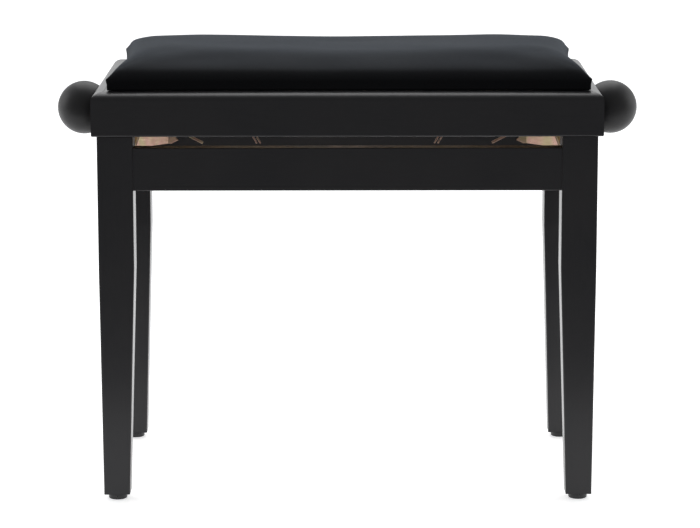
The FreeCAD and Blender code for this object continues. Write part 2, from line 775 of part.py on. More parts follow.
# ---- build ---------------------------------------------------------------------------------
def build_base():
    for name, sx, sy in CORNERS:
        save(f"leg_{name}", to_corner(leg(), sx, sy))
        save(f"corner_brace_{name}", to_corner(corner_brace(), sx, sy))
        save(f"base_bracket_{name}", to_corner(base_bracket(), sx, sy))
    long_out = leg_out_y - apron_recess
    side_out = leg_out_x - apron_recess
    long_apron = apron(leg_in_x, apron_in_y, long_out, True)
    side_apron = apron(leg_in_y, apron_in_x, side_out, False)
    for name, sy in FRONT_REAR:
        save(f"apron_{name}", to_corner(long_apron, 1, sy))
    for name, sx in LEFT_RIGHT:
        save(f"apron_{name}", to_corner(side_apron, sx, 1))
        save(f"base_pivot_rod_{name}", to_corner(base_pivot_rod(), sx, 1))
    save("glides", in_corners(glide()))
    save("leg_bolts", in_corners(leg_bolt()))
    save("leg_bolt_washers", in_corners(leg_washer()))
    save("leg_bolt_nuts", in_corners(leg_nut()))
    save("brace_screws", [s for seat in brace_screw_seats() for s in in_corners(wood_screw(*seat))])
    screws = [s for seat in base_bracket_screw_seats() for s in in_corners(wood_screw(*seat))]
    save("base_bracket_screws", screws)


def build_seat():
    for side in ("front", "rear", "left", "right"):
        save(f"seat_rail_{side}", placed_rail(side))
    save("seat_corner_blocks", in_corners(corner_block()))
    save("cushion_board", cushion_board())
    save("cushion_foam", cushion_foam())
    save("cushion_cover", cushion_cover())
    screw = wood_screw(board_screw_seat(), V(0, 0, 1), board_screw_length)
    save("cushion_screws", in_corners(screw))
    for name, sx, sy in CORNERS:
        save(f"seat_bracket_{name}", to_corner(seat_bracket(), sx, sy))
    for name, sx in LEFT_RIGHT:
        save(f"bearing_bush_{name}", to_corner(bearing_bush(), sx, 1))
    save("seat_pivot_pins", in_corners(seat_pivot_pin()))
    screws = [s for seat in seat_bracket_screw_seats() for s in in_corners(wood_screw(*seat))]
    save("seat_bracket_screws", screws)


def build_drive():
    save("spindle", spindle())
    for name, sx in LEFT_RIGHT:
        save(f"knob_{name}", to_corner(knob(), sx, 1))
        save(f"nut_bar_{name}", to_corner(nut_bar(), sx, 1))
        clips = [to_corner(nut_clip(), sx, sy) for _, sy in FRONT_REAR]
        save(f"nut_clips_{name}", clips)
    save("thrust_collars", [to_corner(thrust_collar(), sx, 1) for _, sx in LEFT_RIGHT])
    screw = rod(*collar_screw_line(), collar_screw_radius)
    save("collar_screws", [to_corner(screw, sx, 1) for _, sx in LEFT_RIGHT])


def build_scissors():
    # Arms and links are made on the left, at the rear, so the right side is their mirror.
    for side, flip in (("left", 1), ("right", -1)):
        for end, sy in FRONT_REAR:
            save(f"arm_{end}_{side}", to_corner(arm(), flip, sy))
            save(f"link_{end}_{side}", to_corner(link(), flip, sy))
        save(f"arm_rivets_{side}", [to_corner(arm_rivet(), flip, sy) for _, sy in FRONT_REAR])


os.makedirs("parts", exist_ok=True)
build_base()
build_seat()
build_drive()
build_scissors()
print(f"arm {arm_length:.2f}, angles {math.degrees(angle_rest):.4f} to {math.degrees(angle_top):.4f}")
print(f"nut travel {nut_travel:.4f}, slot {slot_travel:.3f} long, {slot_stray:.3f} across")
print(f"link hole slack {fold_error:.3f}, base pivot z {base_pivot_z:.1f}, spindle z {spindle_z:.1f}")
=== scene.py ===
import math

import bmesh
import bpy
import numpy as np
from mathutils import Matrix, Vector
from mathutils.noise import noise


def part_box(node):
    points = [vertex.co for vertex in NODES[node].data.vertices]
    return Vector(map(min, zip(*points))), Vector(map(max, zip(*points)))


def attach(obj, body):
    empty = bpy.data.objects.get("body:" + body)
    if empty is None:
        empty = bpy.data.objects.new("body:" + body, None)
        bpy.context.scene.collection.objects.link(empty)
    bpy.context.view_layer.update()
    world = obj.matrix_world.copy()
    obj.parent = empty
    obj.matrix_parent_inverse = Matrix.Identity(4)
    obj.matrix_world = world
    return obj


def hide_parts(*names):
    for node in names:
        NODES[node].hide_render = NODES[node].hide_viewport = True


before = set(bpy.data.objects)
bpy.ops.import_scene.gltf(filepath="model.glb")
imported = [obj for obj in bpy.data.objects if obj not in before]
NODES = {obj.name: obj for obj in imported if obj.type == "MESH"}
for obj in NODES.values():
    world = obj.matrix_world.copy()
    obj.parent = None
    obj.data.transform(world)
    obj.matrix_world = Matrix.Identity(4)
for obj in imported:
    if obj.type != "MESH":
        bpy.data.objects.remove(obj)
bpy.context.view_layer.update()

# Piano bench. Metres; +X right, +Y back, +Z up, the origin on the floor under the middle.

MM = 0.001
LEFT_RIGHT = (("left", -1), ("right", 1))

# ---- camera and light ------------------------------------------------------------------------
CAMERA_PLACE = (-0.0015, -3.336, 0.860)
CAMERA_PITCH = 0.1845       # below the horizon, radians
CAMERA_TURN = -0.0013       # to the left, radians
CAMERA_ROLL = -0.0010
CAMERA_LENS = 152.2         # mm, on a 36 mm sensor
FRONT_LIGHT = 0.31          # strength of the surroundings in front, where those behind have 1

# ---- cushion ---------------------------------------------------------------------------------
CUSHION_STEP = 5.2 * MM     # spacing of its mesh before subdivision
CUSHION_START = 1.0 * MM    # how much smaller than its final size it starts
BAND_HEIGHT = 12.5 * MM
CROWN_HEIGHT = 23.4 * MM    # band to the crest
END_SHOULDER = 35 * MM      # width of the rounded shoulder at the short ends
SIDE_SHOULDER = 105 * MM    # and along the long sides
SHOULDER_POWER = 2.2        # 2 makes a shoulder's section a quarter of an ellipse
MITRE_POWER = 3.0           # how sharply two shoulders meet at a corner
END_PULL = 12.4 * MM        # how far the short ends pull in between the corners
SIDE_PULL = 5.0 * MM        # and the long sides
PULL_POWER = 0.8            # lower keeps the pull nearly even up to the corners
END_LEAN = 0.35             # how much more the short ends pull in towards the front
# How far each corner stands to the right of a true rectangle's: (left or right, front or rear).
COVER_SKEW = {(-1, -1): 0.7 * MM, (1, -1): 2.6 * MM, (-1, 1): 1.4 * MM, (1, 1): -0.8 * MM}
SIT_DIP = 4.0 * MM          # in the middle, where people sit
DIP_REACH = (120 * MM, 140 * MM)
SWELL_LIMIT = 3 * MM        # furthest that the cloth may move a point
EASE_PASSES = 14            # how often that movement is evened out over the crown
HEM_WIDTH = 24 * MM
HEM_FOLD = 3 * MM           # how far the hem's raw edge turns up
CROWDING = 0.14             # how much closer together its mesh's lines are at the edges
HELD_BAND = 0.6             # how firmly the cloth is held along the top of the band
RIPPLE = 0.5 * MM           # slow unevenness of the crown
RIPPLE_SCALE = (14, 22, 20)     # its waves along X, Y and Z, per metre
EAR_OUT = 2.6 * MM          # how far a corner's ear stands out
EAR_UP = 1.4 * MM
EAR_REACH = (8 * MM, 4 * MM)    # its reach sideways and up
SEAM_DEPTH = 1.1 * MM       # of the seam that runs inwards from each ear
SEAM_HALF = 2.6 * MM
SEAM_LENGTH = 60 * MM
BOARD_THICK = 10 * MM
BOARD_INSET = 9 * MM        # board inside the cover's outline
STAPLE_PITCH = 42 * MM
STAPLE_WIDTH = 10 * MM
STAPLE_WIRE = 0.5 * MM
STAPLE_END = 0.4 * MM       # rounded end
STAPLE_TILT = 0.12          # most that one stands askew, radians
STAPLE_CLEAR = 15 * MM      # row's end to the corner

# ---- tabs that hang from the lower edge of each arm -------------------------------------------
# Each is (outer X, how far below the arm's highest point it starts, inner X, how far it falls,
# thickness).
ARM_TABS = (
    (107.4 * MM, 23 * MM, 97 * MM, 18 * MM, 1.4 * MM),
    (111.4 * MM, 23 * MM, 101 * MM, 18 * MM, 1.4 * MM),
    (183.5 * MM, 29 * MM, 161.5 * MM, 11.5 * MM, 2.4 * MM),
)
TAB_INSET = 0.2 * MM        # from the arm's two faces
ARM_THICK = 4 * MM

# ---- threads ---------------------------------------------------------------------------------
SPINDLE_LEAD = 1.5 * MM
SPINDLE_THREAD_DEPTH = 0.8 * MM
SPINDLE_PLAIN_HALF = 4 * MM     # plain middle
SPINDLE_THREAD_END = 60 * MM
BOLT_PITCH = 1.25 * MM
BOLT_THREAD_DEPTH = 0.6 * MM
RINGS_PER_TURN = 8

# ---- felt pads on the leg tops ----------------------------------------------------------------
PAD_RADIUS = 9 * MM
PAD_PLAY = 0.05 * MM        # below the seat rail

# ---- studio floor ----------------------------------------------------------------------------
FLOOR_HALF = 12.0
FLOOR_NEAR = -0.6           # it ends here, so that the front faces mirror no bright floor
FLOOR_FAR = 12.0


# ==== mesh helpers ============================================================================
def mesh_piece(name, verts, faces, body, material, smooth=True):
    """A mesh object that rides on a CAD body."""
    mesh = bpy.data.meshes.new(name)
    mesh.from_pydata([tuple(v) for v in verts], [], faces)
    mesh.validate()
    mesh.materials.append(material)
    mesh.shade_smooth() if smooth else mesh.shade_flat()
    piece = bpy.data.objects.new(name, mesh)
    bpy.context.scene.collection.objects.link(piece)
    if body:
        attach(piece, body)
    return piece


def face_outward(piece):
    """Makes a closed mesh's normals point outwards."""
    edit = bmesh.new()
    edit.from_mesh(piece.data)
    bmesh.ops.recalc_face_normals(edit, faces=edit.faces)
    edit.to_mesh(piece.data)
    edit.free()


def sharpen(piece, degrees):
    """Keeps edges sharper than this angle crisp."""
    piece.data.set_sharp_from_angle(angle=math.radians(degrees))


def bevel(piece, width, weld=False):
    """Rounds a piece's hard edges. A CAD node's split vertices are welded first."""
    if weld:
        join = piece.modifiers.new("weld", "WELD")
        join.merge_threshold = 0.002 * MM
    edge = piece.modifiers.new("bevel", "BEVEL")
    edge.width = width
    edge.segments = 2
    edge.limit_method = "ANGLE"
    edge.angle_limit = math.radians(35)
    edge.use_clamp_overlap = True
    edge.harden_normals = False


def rings_to_mesh(rings):
    """(verts, faces) of a skin over equal rings of points, with its two ends filled."""
    count = len(rings[0])
    verts = [p for ring in rings for p in ring]
    faces = []
    for i in range(len(rings) - 1):
        for j in range(count):
            k = (j + 1) % count
            faces.append((i * count + j, i * count + k, (i + 1) * count + k, (i + 1) * count + j))
    faces.append(tuple(reversed(range(count))))
    faces.append(tuple(range((len(rings) - 1) * count, len(rings) * count)))
    return verts, faces


def basis(axis):
    """Two unit vectors square to axis and to each other."""
    axis = Vector(axis).normalized()
    side = axis.cross(Vector((0, 0, 1)))
    if side.length < 1e-3:
        side = axis.cross(Vector((0, 1, 0)))
    side.normalize()
    return side, axis.cross(side)


def lathe(start, axis, profile, count=32):
    """(verts, faces) of a round body. profile holds (distance along axis, radius, push)."""
    axis = Vector(axis).normalized()
    side, up = basis(axis)
    rings = []
    for along, radius, push in profile:
        ring = []
        for j in range(count):
            turn = 2 * math.pi * j / count
            r = radius(turn) if callable(radius) else radius
            t = along(turn) if callable(along) else along
            if push:
                t += push(r, turn)
            x, y = r * math.cos(turn), r * math.sin(turn)
            ring.append(start + axis * t + side * x + up * y)
        rings.append(ring)
    return rings_to_mesh(rings)


def merged(parts):
    """One (verts, faces) from several."""
    verts, faces = [], []
    for more_verts, more_faces in parts:
        shift = len(verts)
        verts += more_verts
        faces += [tuple(i + shift for i in face) for face in more_faces]
    return verts, faces


def islands(node):
    """The separate solids of a CAD node, each as an array of its points."""
    mesh = NODES[node].data
    points = np.array([v.co for v in mesh.vertices])
    keys = {}
    same = [keys.setdefault(tuple(np.round(p, 6)), i) for i, p in enumerate(points)]
    root = list(range(len(points)))

    def find(i):
        while root[i] != i:
            root[i] = root[root[i]]
            i = root[i]
        return i

    for edge in mesh.edges:
        a, b = (find(same[i]) for i in edge.vertices)
        root[a] = b
    groups = {}
    for i in set(same):
        groups.setdefault(find(i), []).append(points[i])
    return [np.array(g) for _, g in sorted(groups.items())]


def rod_axis(points):
    """(one end, other end, radius) of a round rod or screw. The first end is the wider one."""
    centre = (points.min(0) + points.max(0)) / 2
    spread = points - points.mean(0)
    axis = np.linalg.svd(spread, full_matrices=False)[2][0]
    along = (points - centre) @ axis
    away = np.linalg.norm(points - centre - np.outer(along, axis), axis=1)
    low, high = along.min(), along.max()
    wide_low = away[along < low + 0.3 * MM].max()
    wide_high = away[along > high - 0.3 * MM].max()
    if wide_high > wide_low:
        low, high = high, low
    return Vector(centre + axis * low), Vector(centre + axis * high), float(away.max())


# ==== materials ===============================================================================
class Shader:
    """A procedural material, written as a chain of short calls."""

    def __init__(self, name):
        self.material = bpy.data.materials.new(name)
        self.material.use_nodes = True
        self.tree = self.material.node_tree
        self.surface = self.tree.nodes["Principled BSDF"]
        self.place = self.tree.nodes.new("ShaderNodeTexCoord").outputs["Object"]

    def node(self, kind, inputs=(), **settings):
        made = self.tree.nodes.new("ShaderNode" + kind)
        for key, value in settings.items():
            setattr(made, key, value)
        for key, value in dict(inputs).items():
            self.put(made.inputs[key], value)
        return made

    def put(self, socket, value):
        if isinstance(value, bpy.types.NodeSocket):
            self.tree.links.new(value, socket)
        elif hasattr(value, "__len__") and socket.type == "RGBA" and len(value) == 3:
            socket.default_value = (*value, 1.0)
        else:
            socket.default_value = value

    def set(self, **inputs):
        for key, value in inputs.items():
            self.put(self.surface.inputs[key.replace("_", " ")], value)
        return self

    def stretched(self, scale):
        return self.node("Mapping", {"Vector": self.place, "Scale": scale}).outputs["Vector"]

    def noise(self, scale, detail=4.0, rough=0.55, vector=None, distort=0.0):
        made = self.node(
            "TexNoise",
            {
                "Vector": vector or self.place,
                "Scale": scale,
                "Detail": detail,
                "Roughness": rough,
                "Distortion": distort,
            },
        )
        return made.outputs["Fac"]

    def ramp(self, value, stops):
        made = self.node("ValToRGB", {"Fac": value})
        ramp = made.color_ramp
        while len(ramp.elements) < len(stops):
            ramp.elements.new(0.5)
        for element, (place, colour) in zip(ramp.elements, stops):
            element.position = place
            element.color = (*colour, 1.0)
        return made.outputs["Color"]

    def span(self, value, low, high, start=0.3, end=0.7):
        made = self.node(
            "MapRange",
            {"Value": value, "From Min": start, "From Max": end, "To Min": low, "To Max": high},
        )
        return made.outputs["Result"]

    def mix(self, share, a, b):
        made = self.tree.nodes.new("ShaderNodeMix")
        made.data_type = "RGBA"
        for socket, value in ((made.inputs[0], share), (made.inputs[6], a), (made.inputs[7], b)):
            self.put(socket, value)
        return made.outputs[2]

    def bump(self, height, strength, distance, under=None):
        made = self.node("Bump", {"Height": height, "Strength": strength, "Distance": distance})
        if under:
            self.put(made.inputs["Normal"], under)
        return made.outputs["Normal"]


GRAIN_ALONG = {"X": (0.06, 1, 1), "Y": (1, 0.06, 1), "Z": (1, 1, 0.06)}


def black_lacquer(axis):
    """Satin black paint over close-grained wood. The grain shows faintly along axis."""
    s = Shader("black_lacquer_" + axis.lower())
    grain = s.noise(900, 5, 0.6, s.stretched(GRAIN_ALONG[axis]))
    cloud = s.noise(9, 3)
    peel = s.noise(1400, 2)
    tone = s.ramp(cloud, [(0.35, (0.0076, 0.0074, 0.0096)), (0.7, (0.0110, 0.0100, 0.0114))])
    s.set(Base_Color=s.mix(s.span(grain, 0.0, 0.35), tone, (0.014, 0.0136, 0.0145)))
    s.set(Roughness=s.span(s.mix(0.4, cloud, grain), 0.32, 0.44), Specular_IOR_Level=0.25)
    s.set(Coat_Weight=0.35, Coat_Roughness=0.22)
    s.set(Normal=s.bump(peel, 0.06, 0.2 * MM, s.bump(grain, 0.16, 0.25 * MM)))
    return s.material


def turned_lacquer():
    """The same paint, thicker and smoother, on a turned ball."""
    s = Shader("turned_lacquer")
    cloud = s.noise(26, 3)
    peel = s.noise(700, 3)
    turning = s.noise(60, 2, 0.5, s.stretched((9, 0.4, 0.4)))
    s.set(Base_Color=s.ramp(cloud, [(0.3, (0.013, 0.013, 0.014)), (0.7, (0.018, 0.0175, 0.018))]))
    s.set(Roughness=s.span(cloud, 0.36, 0.47), Specular_IOR_Level=0.29)
    s.set(Normal=s.bump(peel, 0.05, 0.2 * MM, s.bump(turning, 0.05, 0.2 * MM)))
    return s.material


def velvet():
    """Short black pile: dark face on, grey-blue where it is seen along the nap."""
    s = Shader("black_velvet")
    pile = s.noise(2600, 2, 0.7)
    tuft = s.noise(700, 3, 0.6)
    brushed = s.noise(11, 3, 0.5, s.stretched((0.55, 1.0, 1.0)), 0.6)
    tips = s.span(pile, 0.0, 1.0, 0.35, 0.65)
    dark = s.mix(tips, (0.0022, 0.0022, 0.0026), (0.0075, 0.0078, 0.009))
    s.set(Base_Color=s.mix(s.span(brushed, 0.0, 0.5), dark, (0.0085, 0.009, 0.0105)))
    s.set(Roughness=s.span(brushed, 0.82, 0.95), Specular_IOR_Level=0.12)
    s.set(Sheen_Weight=0.145, Sheen_Roughness=0.38, Sheen_Tint=(0.63, 0.745, 0.90))
    s.set(Normal=s.bump(tuft, 0.30, 0.5 * MM, s.bump(pile, 0.35, 0.3 * MM)))
    return s.material


def yellow_zinc(name, pink):
    """Yellow chromate over zinc, with its drifting gold, pink and straw tints."""
    s = Shader(name)
    drift = s.noise(22, 2, 0.5, s.place, 0.8)
    streak = s.noise(420, 3, 0.6, s.stretched((0.35, 0.35, 1.0)))
    tint = s.ramp(
        drift,
        [
            (0.28, (0.42, 0.33, 0.18)),
            (0.42, (0.56, 0.45, 0.29)),
            (0.52, (0.56, 0.34 + 0.1 * (1 - pink), 0.29 * pink + 0.22 * (1 - pink))),
            (0.62, (0.50, 0.41, 0.26)),
            (0.75, (0.42, 0.37, 0.23)),
        ],
    )
    s.set(Base_Color=s.mix(s.span(streak, 0.0, 0.35), tint, (0.34, 0.25, 0.14)), Metallic=1.0)
    s.set(Roughness=s.span(streak, 0.26, 0.42))
    s.set(Normal=s.bump(streak, 0.10, 0.1 * MM))
    return s.material


def bright_steel(name, tone, rough):
    """Rolled or drawn steel with a thin film of oil."""
    s = Shader(name)
    oil = s.noise(55, 4, 0.6)
    scratch = s.noise(800, 3, 0.6, s.stretched((0.1, 1, 1)))
    darker = tuple(0.55 * c for c in tone)
    s.set(Base_Color=s.mix(s.span(oil, 0.0, 0.7), tone, darker), Metallic=1.0)
    s.set(Roughness=s.span(scratch, rough, rough + 0.16))
    s.set(Normal=s.bump(scratch, 0.08, 0.1 * MM))
    return s.material


def moulded_plastic(name, tone, rough):
    """Black moulded plastic with a fine spark-eroded skin."""
    s = Shader(name)
    skin = s.noise(1900, 2)
    flow = s.noise(70, 3)
    s.set(Base_Color=s.mix(s.span(flow, 0.0, 1.0), tone, tuple(1.5 * c for c in tone)))
    s.set(Roughness=s.span(flow, rough, rough + 0.12), Specular_IOR_Level=0.45)
    s.set(Normal=s.bump(skin, 0.12, 0.15 * MM))
    return s.material


def bare_wood(name, early, late, axis):
    """Unpainted wood with growth rings cut along axis."""
    s = Shader(name)
    along = s.stretched(GRAIN_ALONG[axis])
    rings = s.node(
        "TexWave",
        {"Vector": along, "Scale": 55.0, "Distortion": 5.0, "Detail": 3.0, "Detail Scale": 1.6},
    ).outputs["Fac"]
    pores = s.noise(1100, 4, 0.6, along)
    tone = s.mix(s.span(rings, 0.0, 1.0, 0.2, 0.9), early, late)
    s.set(Base_Color=s.mix(s.span(pores, 0.0, 0.3), tone, tuple(0.5 * c for c in late)))
    s.set(Roughness=s.span(pores, 0.62, 0.8), Specular_IOR_Level=0.25)
    s.set(Normal=s.bump(pores, 0.25, 0.2 * MM))
    return s.material


def foam_core():
    s = Shader("open_cell_foam")
    cells = s.node("TexVoronoi", {"Vector": s.place, "Scale": 900.0}).outputs["Distance"]
    age = s.noise(12, 2)
    s.set(Base_Color=s.mix(s.span(age, 0.0, 1.0), (0.74, 0.66, 0.42), (0.66, 0.56, 0.33)))
    s.set(Roughness=0.95, Normal=s.bump(cells, 0.5, 0.4 * MM))
    return s.material


def pad_felt():
    s = Shader("pad_felt")
    fibre = s.noise(1700, 4, 0.75, s.place, 1.5)
    s.set(Base_Color=s.ramp(fibre, [(0.35, (0.012, 0.012, 0.013)), (0.7, (0.035, 0.034, 0.036))]))
    s.set(Roughness=0.95, Normal=s.bump(fibre, 0.6, 0.3 * MM))
    return s.material


def floor_paper():
    s = Shader("studio_floor")
    tooth = s.noise(300, 3)
    s.set(Base_Color=s.mix(s.span(tooth, 0.0, 1.0), (0.90, 0.90, 0.905), (0.88, 0.88, 0.885)))
    s.set(Roughness=0.9, Specular_IOR_Level=0.05)
    s.set(Emission_Color=(0.99, 0.995, 1.0), Emission_Strength=0.65)
    return s.material


LACQUER = {axis: black_lacquer(axis) for axis in "XYZ"}
BALL_LACQUER = turned_lacquer()
VELVET = velvet()
ZINC = yellow_zinc("yellow_zinc_plate", 1.0)
FASTENER_ZINC = yellow_zinc("yellow_zinc_fastener", 0.3)
SPINDLE_STEEL = bright_steel("spindle_steel", (0.56, 0.56, 0.55), 0.24)
STAPLE_STEEL = bright_steel("staple_steel", (0.62, 0.62, 0.62), 0.3)
GLIDE_PLASTIC = moulded_plastic("glide_plastic", (0.012, 0.012, 0.013), 0.26)
BUSH_PLASTIC = moulded_plastic("bush_plastic", (0.016, 0.016, 0.017), 0.42)
PLYWOOD = bare_wood("birch_plywood", (0.62, 0.48, 0.31), (0.50, 0.36, 0.21), "X")
BLOCK_WOOD = bare_wood("sawn_softwood", (0.66, 0.50, 0.30), (0.52, 0.34, 0.17), "Z")
FOAM = foam_core()
FELT = pad_felt()


# ==== CAD nodes that stay =====================================================================
def finish_of(node):
    """(material, bevel width in metres) of a CAD node that stays visible."""
    if node.startswith("leg_bolt"):
        return FASTENER_ZINC, 0.3 * MM
    if node.startswith("leg"):
        return LACQUER["Z"], 0.6 * MM
    if node.startswith(("apron_front", "apron_rear", "seat_rail_front", "seat_rail_rear")):
        return LACQUER["X"], 0.5 * MM
    if node.startswith(("apron", "seat_rail")):
        return LACQUER["Y"], 0.5 * MM
    if node.startswith("seat_corner_blocks"):
        return BLOCK_WOOD, 0.4 * MM
    if node.startswith("glides"):
        return GLIDE_PLASTIC, 0.3 * MM
    if node.startswith("knob"):
        return BALL_LACQUER, 0
    if node.startswith("bearing"):
        return BUSH_PLASTIC, 0.2 * MM
    if node.startswith("cushion_foam"):
        return FOAM, 0
    if node.startswith(("arm_rivets", "seat_pivot", "base_pivot")):
        return SPINDLE_STEEL, 0.7 * MM
    if node.startswith(("thrust", "collar", "nut_clips")):
        return SPINDLE_STEEL, 0.3 * MM
    return ZINC, 0.4 * MM


def dress_cad():
    for name, node in NODES.items():
        material, width = finish_of(name)
        node.data.materials.clear()
        node.data.materials.append(material)
        if width:
            bevel(node, width, weld=True)


# ==== cushion =================================================================================
def cushion_sizes():
    """Half width, half depth and lowest level of the cushion, from its CAD solid."""
    low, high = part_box("cushion_cover")
    return high.x, high.y, low.z


def shoulder(distance, width):
    """0 at the cushion's edge, rising to 1 where a shoulder of this width ends."""
    inside = max(0.0, 1 - distance / width)
    return (1 - inside**SHOULDER_POWER) ** (1 / SHOULDER_POWER)


def lower_of(a, b):
    """The lower of two rises, blended softly where they are nearly equal."""
    if min(a, b) <= 0:
        return 0.0
    return (a**-MITRE_POWER + b**-MITRE_POWER - 1) ** (-1 / MITRE_POWER)


def pulled(amount, share, lean=0.0):
    """How far a side's edge is pulled in, share of the way from its middle to its end."""
    return amount * max(0.0, 1 - share**2) ** PULL_POWER * (1 - lean * share)


def skewed(u, v):
    """Sideways shift of a cover that isn't sewn quite square."""
    shift = 0.0
    for (end, side), amount in COVER_SKEW.items():
        shift += amount * (1 + end * u) * (1 + side * v) / 4
    return shift


def spread_steps(half):
    """Places from -half to half, closer together towards both ends."""
    count = 2 * int(half / CUSHION_STEP)
    places = []
    for i in range(count + 1):
        t = 2 * i / count - 1
        places.append(half * ((1 - CROWDING) * t + CROWDING * math.sin(t * math.pi / 2)))
    return places


def cushion_mesh(half_x, half_y, base):
    """A closed quad mesh: crown grid, upright band, turned-under hem and a hidden lid."""
    xs, ys = spread_steps(half_x), spread_steps(half_y)
    nx, ny = len(xs), len(ys)
    top = base + BAND_HEIGHT
    verts, index = [], {}
    for j, y in enumerate(ys):
        for i, x in enumerate(xs):
            u, v = x / half_x, y / half_y
            place_x = x - u * pulled(END_PULL, v, END_LEAN) + skewed(u, v)
            place_y = y - v * pulled(SIDE_PULL, u)
            rise = lower_of(
                shoulder(half_x - abs(x), END_SHOULDER), shoulder(half_y - abs(y), SIDE_SHOULDER)
            )
            dip = SIT_DIP * math.exp(-((x / DIP_REACH[0]) ** 2) - (y / DIP_REACH[1]) ** 2)
            height = (CROWN_HEIGHT - dip) * rise
            index[i, j] = len(verts)
            verts.append(Vector((place_x, place_y, top + height)))
    faces = [
        (index[i, j], index[i + 1, j], index[i + 1, j + 1], index[i, j + 1])
        for j in range(ny - 1)
        for i in range(nx - 1)
    ]
    loop = [index[i, 0] for i in range(nx - 1)]
    loop += [index[nx - 1, j] for j in range(ny - 1)]
    loop += [index[i, ny - 1] for i in range(nx - 1, 0, -1)]
    loop += [index[0, j] for j in range(ny - 1, 0, -1)]
    # (height above the base, how far in from the edge, share of the side pull) down the band,
    # round its foot and in under the board.
    steps = [
        (0.80 * BAND_HEIGHT, 0.1 * MM, 0.92),
        (0.55 * BAND_HEIGHT, 0.4 * MM, 0.75),
        (0.30 * BAND_HEIGHT, 0.3 * MM, 0.55),
        (0.10 * BAND_HEIGHT, 0.3 * MM, 0.42),
        (0.4 * MM, 1.0 * MM, 0.40),
        (0.3 * MM, 4 * MM, 0.30),
        (0.3 * MM, 12 * MM, 0.1),
        (0.3 * MM, HEM_WIDTH, 0.0),
        (HEM_FOLD, HEM_WIDTH + 0.5 * MM, 0.0),
    ]
    # The crown's points come first, a row at a time, so their numbers give column and row.
    ring = loop
    for height, inward, share in steps:
        shrink_x, shrink_y = (half_x - inward) / half_x, (half_y - inward) / half_y
        lower = []
        for k in loop:
            x, y = xs[k % nx], ys[k // nx]
            u, v = x / half_x, y / half_y
            place = Vector(
                (
                    x * shrink_x - u * share * pulled(END_PULL, v, END_LEAN) + skewed(u, v),
                    y * shrink_y - v * share * pulled(SIDE_PULL, u),
                    base + height,
                )
            )
            lower.append(len(verts))
            verts.append(place)
        count = len(ring)
        for k in range(count):
            n = (k + 1) % count
            faces.append((ring[n], ring[k], lower[k], lower[n]))
        ring = lower
    faces.append(tuple(reversed(ring)))
    return verts, faces, (ny, nx)


def swell(piece, pinned):
    """Inflates the cover as cloth under pressure, and returns its new points."""
    group = piece.vertex_groups.new(name="held")
    for vertex, weight in pinned.items():
        group.add([vertex], weight, "REPLACE")
    cloth = piece.modifiers.new("cloth", "CLOTH")
    settings = cloth.settings
    settings.quality = 6
    settings.mass = 0.25
    settings.tension_stiffness = 25
    settings.compression_stiffness = 25
    settings.shear_stiffness = 10
    settings.bending_stiffness = 12
    settings.use_pressure = True
    settings.uniform_pressure_force = 2.0
    settings.vertex_group_mass = "held"
    settings.pin_stiffness = 1.0
    settings.effector_weights.gravity = 0
    scene = bpy.context.scene
    for step in range(1, 21):
        scene.frame_set(step)
    graph = bpy.context.evaluated_depsgraph_get()
    swollen = piece.evaluated_get(graph).to_mesh()
    points = [v.co.copy() for v in swollen.vertices]
    piece.evaluated_get(graph).to_mesh_clear()
    piece.modifiers.remove(cloth)
    piece.vertex_groups.clear()
    scene.frame_set(1)
    return points


def eased(steps, grid):
    """The cloth's movement, capped, and evened out over the crown's grid of points."""
    moves = np.array([tuple(step) for step in steps])
    length = np.linalg.norm(moves, axis=1, keepdims=True)
    moves *= np.minimum(1.0, SWELL_LIMIT / np.maximum(length, 1e-9))
    rows, columns = grid
    crown = moves[: rows * columns].reshape(rows, columns, 3)
    for _ in range(EASE_PASSES):
        inner = crown.copy()
        inner[1:-1] = (crown[:-2] + 2 * crown[1:-1] + crown[2:]) / 4
        crown = inner.copy()
        crown[:, 1:-1] = (inner[:, :-2] + 2 * inner[:, 1:-1] + inner[:, 2:]) / 4
    moves[: rows * columns] = crown.reshape(-1, 3)
    return [Vector(move) for move in moves]


def corner_detail(point, half_x, half_y, base):
    """Shift of a cushion point for the corners' ears and the seams that run in from them."""
    corner = Vector((math.copysign(half_x, point.x), math.copysign(half_y, point.y), point.z))
    away = (Vector((point.x, point.y, 0)) - Vector((corner.x, corner.y, 0))).length
    out = Vector((math.copysign(1, point.x), math.copysign(1, point.y), 0)).normalized()
    above = point.z - base - BAND_HEIGHT
    ear = math.exp(-((away / EAR_REACH[0]) ** 2)) * math.exp(-((above / EAR_REACH[1]) ** 2))
    shift = out * (EAR_OUT * ear) + Vector((0, 0, EAR_UP * ear))
    # The seam runs from the ear over the shoulder, pulled a little into the foam.
    across = abs((point.x - corner.x) * out.y - (point.y - corner.y) * out.x)
    if above > 1 * MM and away < SEAM_LENGTH:
        seam = math.exp(-((across / SEAM_HALF) ** 2)) * (1 - away / SEAM_LENGTH)
        shift.z -= SEAM_DEPTH * seam
    return shift


